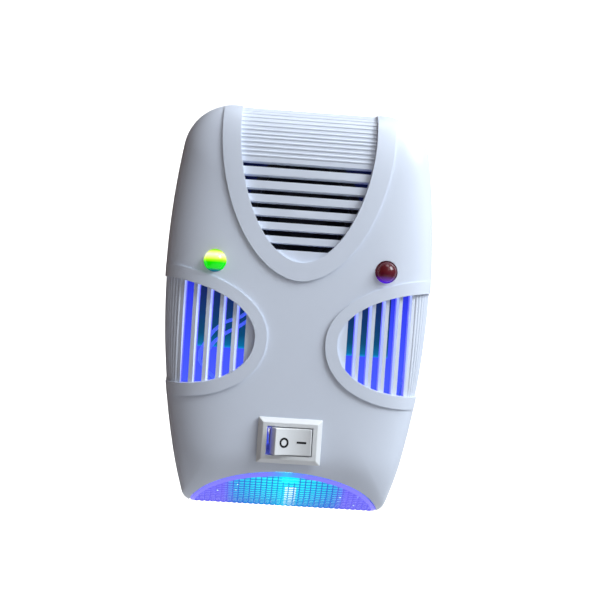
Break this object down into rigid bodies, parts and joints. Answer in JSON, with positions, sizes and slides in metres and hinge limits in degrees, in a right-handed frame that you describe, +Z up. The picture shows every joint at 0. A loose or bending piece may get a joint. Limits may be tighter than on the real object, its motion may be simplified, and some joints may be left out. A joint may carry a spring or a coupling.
{
  "type": "ultrasonic pest repeller",
  "caption": "Plug-in ultrasonic pest repeller: barrel-shaped white housing with an arched top grille, two D-shaped side grilles, lamps, a rocker switch and a half-moon night light.",
  "frame": {"origin": "centre of the rear cover's flat back face, which rests against the wall", "axes": "+Z up, +Y into the wall along the plug blades, front towards -Y, +X to the right seen from the front"},
  "size_m": [0.0916, 0.0679, 0.1369],
  "materials": {
    "board_teal": "solder-masked laminate",
    "brass": "stamped",
    "chip_black": "moulded epoxy",
    "cone_grey": "thin spun sheet",
    "copper": "enamelled copper wire",
    "ferrite": "sintered grey",
    "film_red": "dipped epoxy",
    "lamp_blue": "lit blue epoxy dome",
    "lamp_green": "lit green epoxy dome",
    "lamp_red": "unlit dark red epoxy dome",
    "lens_blue": "clear prismatic, lit blue from behind",
    "nickel": "nickel-plated brass",
    "resistor_tan": "lacquered",
    "sleeve_black": "shrink sleeve",
    "speaker_black": "moulded black",
    "steel": "zinc-plated",
    "switch_white": "satin moulded white",
    "white_plastic": "satin gloss moulded, cool white",
    "wire_white": "PVC insulation"
  },
  "bodies": {
    "housing": {"blade_clamp": "switch_white", "board_screw_lower": "steel", "board_screw_upper": "steel", "bridge_rectifier": "chip_black", "circuit_board": "board_teal", "clamp_screw_left": "steel", "clamp_screw_right": "steel", "coil_core": "ferrite", "coil_winding": "copper", "controller_chip": "chip_black", "cover_screw_lower_left": "steel", "cover_screw_lower_right": "steel", "cover_screw_upper_left": "steel", "cover_screw_upper_right": "steel", "driver_transistor": "chip_black", "film_capacitor": "film_red", "front_cover": "white_plastic", "green_led": "lamp_green", "green_led_anode": "nickel", "green_led_cathode": "nickel", "lamp_board": "board_teal", "lamp_board_bracket": "switch_white", "lamp_wire_return": "wire_white", "night_light_led": "lamp_blue", "night_light_lens": "lens_blue", "piezo_disc": "brass", "plug_blade_left": "nickel", "plug_blade_right": "nickel", "plug_wire_left": "wire_white", "plug_wire_right": "wire_white", "rear_cover": "white_plastic", "red_led": "lamp_red", "red_led_anode": "nickel", "red_led_cathode": "nickel", "resistor_a": "resistor_tan", "resistor_b": "resistor_tan", "resistor_c": "resistor_tan", "smoothing_capacitor": "sleeve_black", "speaker_cone": "cone_grey", "speaker_frame": "speaker_black", "speaker_screw_left": "steel", "speaker_screw_right": "steel", "speaker_wire_left": "wire_white", "speaker_wire_right": "wire_white", "switch_housing": "switch_white", "switch_terminal_line": "brass", "switch_terminal_load": "brass", "switch_wire_line": "wire_white", "switch_wire_load": "wire_white", "timing_capacitor": "sleeve_black"},
    "rocker": {"switch_rocker": "switch_white", "rocker_spring": "steel"},
    "plunger": {"rocker_plunger": "nickel"},
    "lever": {"contact_lever": "brass"}
  },
  "joints": [
    {"name": "rocker_pivot", "type": "hinge", "parent": "housing", "child": "rocker", "pos_m": [0, -0.04359, -0.0428], "axis": [0, 0, -1], "range_deg": [0, 22]},
    {"name": "plunger_slide", "type": "slide", "parent": "rocker", "child": "plunger", "axis": [0.1908, -0.9816, 0], "range_m": [0, 0.0007], "stiffness_N_per_m": 400, "springref_m": -0.0005, "deforming": ["rocker_spring"]},
    {"name": "lever_pivot", "type": "hinge", "parent": "housing", "child": "lever", "pos_m": [0, -0.03779, -0.0428], "axis": [0, 0, 1], "range_deg": [0, 11]}
  ],
  "couplings": [
    {"joint": "lever_pivot", "follows": "rocker_pivot", "ratio": 0.5}
  ]
}
